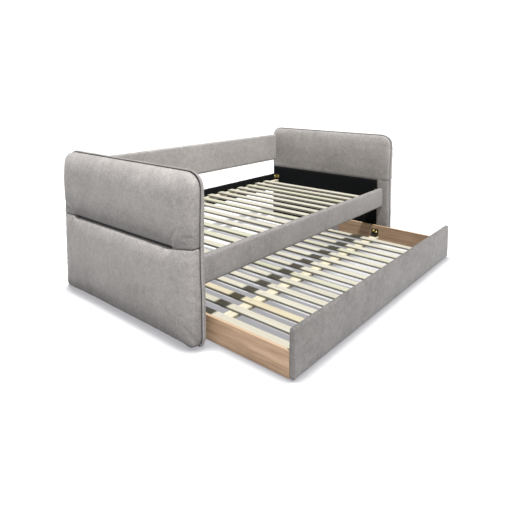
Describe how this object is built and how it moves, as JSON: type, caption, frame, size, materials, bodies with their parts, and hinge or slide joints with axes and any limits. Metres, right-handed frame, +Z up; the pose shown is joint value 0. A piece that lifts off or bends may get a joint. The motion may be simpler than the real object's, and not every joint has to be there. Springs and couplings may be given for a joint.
{
  "type": "trundle bed",
  "caption": "Upholstered single day bed with padded end arms, a low back rail, a slatted deck, and a slatted trundle on small wheels that rolls out from under its front rail.",
  "frame": {"origin": "on the floor, at the centre of the footprint with the trundle part way out, as stored", "axes": "+X along the bed's length to the right as seen from the front, +Y towards the back, +Z up; the trundle rolls out towards -Y"},
  "size_m": [2.105, 1.583, 0.82],
  "materials": {
    "fabric": "warm grey suede-like upholstery fabric with a soft mottled nap",
    "black_lining": "black non-woven lining cloth",
    "black_board": "board covered in black lining cloth",
    "slat_wood": "pale unfinished poplar, sanded",
    "oak_laminate": "oak-look laminated board, satin",
    "glide_plastic": "black moulded plastic",
    "bracket_steel": "zinc-plated steel",
    "wheel_nylon": "dark grey nylon"
  },
  "bodies": {
    "bed": {"arm_left_back_glide": "glide_plastic", "arm_left_front_glide": "glide_plastic", "arm_left_lining": "black_lining", "arm_left_lower_cushion": "fabric", "arm_left_panel": "fabric", "arm_left_upper_cushion": "fabric", "arm_right_back_glide": "glide_plastic", "arm_right_front_glide": "glide_plastic", "arm_right_lining": "black_lining", "arm_right_lower_cushion": "fabric", "arm_right_panel": "fabric", "arm_right_upper_cushion": "fabric", "back_rail": "fabric", "front_rail": "fabric", "lower_back_rail": "black_board", "upper_slat_01": "slat_wood", "upper_slat_02": "slat_wood", "upper_slat_03": "slat_wood", "upper_slat_04": "slat_wood", "upper_slat_05": "slat_wood", "upper_slat_06": "slat_wood", "upper_slat_07": "slat_wood", "upper_slat_08": "slat_wood", "upper_slat_09": "slat_wood", "upper_slat_10": "slat_wood", "upper_slat_11": "slat_wood", "upper_slat_12": "slat_wood", "upper_slat_13": "slat_wood", "upper_slat_14": "slat_wood", "upper_slat_15": "slat_wood"},
    "trundle": {"caster_left_back_bracket": "bracket_steel", "caster_left_front_bracket": "bracket_steel", "caster_right_back_bracket": "bracket_steel", "caster_right_front_bracket": "bracket_steel", "trundle_back_board": "oak_laminate", "trundle_back_ledge": "slat_wood", "trundle_beam": "slat_wood", "trundle_front_ledge": "slat_wood", "trundle_front_panel": "fabric", "trundle_left_board": "oak_laminate", "trundle_right_board": "oak_laminate", "trundle_slat_01": "slat_wood", "trundle_slat_02": "slat_wood", "trundle_slat_03": "slat_wood", "trundle_slat_04": "slat_wood", "trundle_slat_05": "slat_wood", "trundle_slat_06": "slat_wood", "trundle_slat_07": "slat_wood", "trundle_slat_08": "slat_wood", "trundle_slat_09": "slat_wood", "trundle_slat_10": "slat_wood", "trundle_slat_11": "slat_wood", "trundle_slat_12": "slat_wood", "trundle_slat_13": "slat_wood", "trundle_slat_14": "slat_wood", "trundle_slat_15": "slat_wood"},
    "wheel_left_front": {"caster_left_front_wheel": "wheel_nylon"},
    "wheel_left_back": {"caster_left_back_wheel": "wheel_nylon"},
    "wheel_right_front": {"caster_right_front_wheel": "wheel_nylon"},
    "wheel_right_back": {"caster_right_back_wheel": "wheel_nylon"}
  },
  "joints": [
    {"name": "trundle_slide", "type": "slide", "parent": "bed", "child": "trundle", "axis": [0, -1, 0], "range_m": [-0.512, 0.5]},
    {"name": "wheel_left_front_spin", "type": "hinge", "parent": "trundle", "child": "wheel_left_front", "pos_m": [-0.9032, -0.6665, 0.02], "axis": [1, 0, 0], "continuous": true},
    {"name": "wheel_left_back_spin", "type": "hinge", "parent": "trundle", "child": "wheel_left_back", "pos_m": [-0.9032, 0.1035, 0.02], "axis": [1, 0, 0], "continuous": true},
    {"name": "wheel_right_front_spin", "type": "hinge", "parent": "trundle", "child": "wheel_right_front", "pos_m": [0.9032, -0.6665, 0.02], "axis": [1, 0, 0], "continuous": true},
    {"name": "wheel_right_back_spin", "type": "hinge", "parent": "trundle", "child": "wheel_right_back", "pos_m": [0.9032, 0.1035, 0.02], "axis": [1, 0, 0], "continuous": true}
  ],
  "couplings": [
    {"joint": "wheel_left_front_spin", "follows": "trundle_slide", "rad_per_m": 50},
    {"joint": "wheel_left_back_spin", "follows": "trundle_slide", "rad_per_m": 50},
    {"joint": "wheel_right_front_spin", "follows": "trundle_slide", "rad_per_m": 50},
    {"joint": "wheel_right_back_spin", "follows": "trundle_slide", "rad_per_m": 50}
  ]
}
